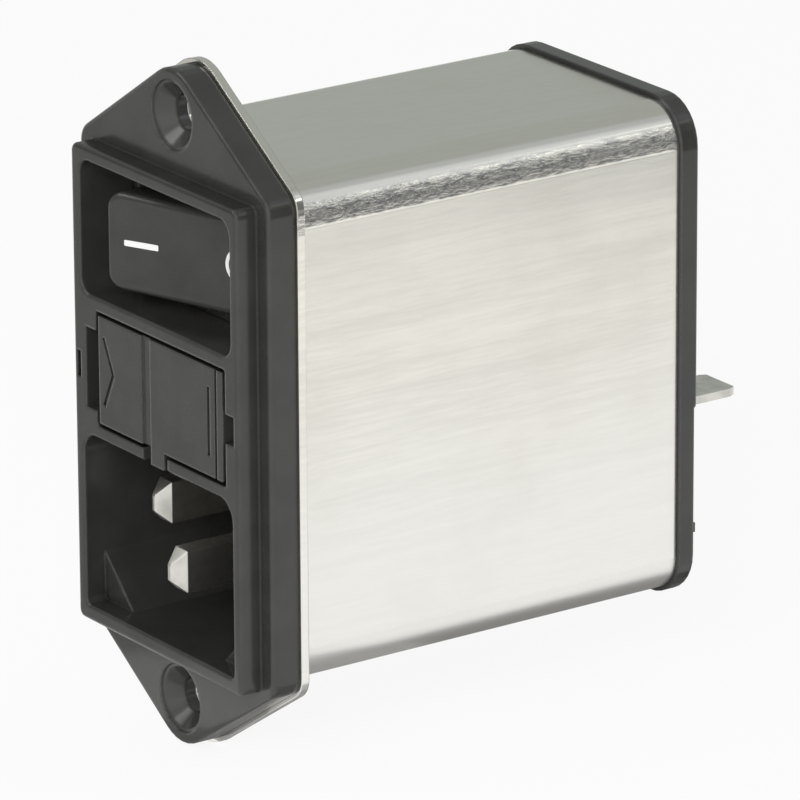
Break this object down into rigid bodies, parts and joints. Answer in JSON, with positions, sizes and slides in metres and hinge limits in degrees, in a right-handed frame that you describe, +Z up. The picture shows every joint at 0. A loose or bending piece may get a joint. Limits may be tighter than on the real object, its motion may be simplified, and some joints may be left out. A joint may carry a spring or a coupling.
{
  "type": "fused power inlet with switch and line filter",
  "caption": "Panel-mount mains inlet with a keyed connector recess, rocker switch, pull-out fuse drawer and line filter in a metal can with blade tabs.",
  "frame": {"origin": "on the rear face of the metal flange, which seats on the panel, midway between the two fixing holes", "axes": "+Y runs back through the panel along the can, the front faces -Y, +Z is up towards the switch, +X is to the right seen from the front"},
  "size_m": [0.031, 0.0578, 0.0644],
  "materials": {
    "black_plastic": "fine-textured moulded black",
    "satin_plastic": "satin moulded black",
    "switch_plastic": "plain moulded black",
    "white_plastic": "natural moulded",
    "can_metal": "plated sheet with a fine lengthwise grain",
    "plated_metal": "nickel plated",
    "spring_steel": "drawn wire",
    "contact_brass": "stamped strip",
    "contact_copper": "copper",
    "fuse_glass": "clear",
    "board_green": "solder mask",
    "capacitor_yellow": "box moulding",
    "capacitor_blue": "dipped coating",
    "core_coating": "coated ferrite",
    "resistor_tan": "lacquer",
    "lead_brown": "insulated lead",
    "lead_blue": "insulated lead",
    "lead_green": "insulated lead"
  },
  "bodies": {
    "housing": {"front_bezel": "black_plastic", "shield_can": "can_metal", "rear_cover": "black_plastic", "line_pin": "plated_metal", "neutral_pin": "plated_metal", "earth_pin": "plated_metal", "switch_body": "switch_plastic", "switch_pivot_line": "contact_brass", "switch_pivot_neutral": "contact_brass", "switch_contact_line": "contact_brass", "switch_contact_neutral": "contact_brass", "front_clip_line": "contact_brass", "front_clip_neutral": "contact_brass", "rear_clip_line": "contact_brass", "rear_clip_neutral": "contact_brass", "filter_board": "board_green", "x_capacitor": "capacitor_yellow", "y_capacitor_line": "capacitor_blue", "y_capacitor_neutral": "capacitor_blue", "choke_core": "core_coating", "choke_winding_line": "contact_copper", "choke_winding_neutral": "contact_copper", "bleed_resistor": "resistor_tan", "line_tab": "plated_metal", "neutral_tab": "plated_metal", "earth_tab": "plated_metal", "pin_lead_line": "lead_brown", "pin_lead_neutral": "lead_blue", "fuse_lead_line": "lead_brown", "fuse_lead_neutral": "lead_blue", "filter_lead_line": "lead_brown", "filter_lead_neutral": "lead_blue", "earth_lead": "lead_green"},
    "switch_rocker": {"rocker": "satin_plastic", "plunger_line": "white_plastic", "plunger_neutral": "white_plastic", "plunger_spring_line": "spring_steel", "plunger_spring_neutral": "spring_steel"},
    "line_lever": {"contact_lever_line": "contact_copper"},
    "neutral_lever": {"contact_lever_neutral": "contact_copper"},
    "drawer": {"fuse_drawer": "satin_plastic", "fuse_tube_line": "fuse_glass", "fuse_tube_neutral": "fuse_glass", "fuse_caps_line": "plated_metal", "fuse_caps_neutral": "plated_metal", "fuse_wire_line": "spring_steel", "fuse_wire_neutral": "spring_steel"}
  },
  "joints": [
    {"name": "rocker_tilt", "type": "hinge", "parent": "housing", "child": "switch_rocker", "pos_m": [0, 0.00165, 0.01435], "axis": [0, 0, -1], "range_deg": [0, 36]},
    {"name": "line_lever_swing", "type": "hinge", "parent": "housing", "child": "line_lever", "pos_m": [0, 0.00628, 0.01675], "axis": [0, 0, 1], "range_deg": [0, 28.8]},
    {"name": "neutral_lever_swing", "type": "hinge", "parent": "housing", "child": "neutral_lever", "pos_m": [0, 0.00628, 0.01195], "axis": [0, 0, 1], "range_deg": [0, 28.8]},
    {"name": "drawer_slide", "type": "slide", "parent": "housing", "child": "drawer", "axis": [0, -1, 0], "range_m": [0, 0.022]}
  ],
  "couplings": [
    {"joint": "line_lever_swing", "follows": "rocker_tilt", "ratio": 0.8},
    {"joint": "neutral_lever_swing", "follows": "rocker_tilt", "ratio": 0.8}
  ]
}
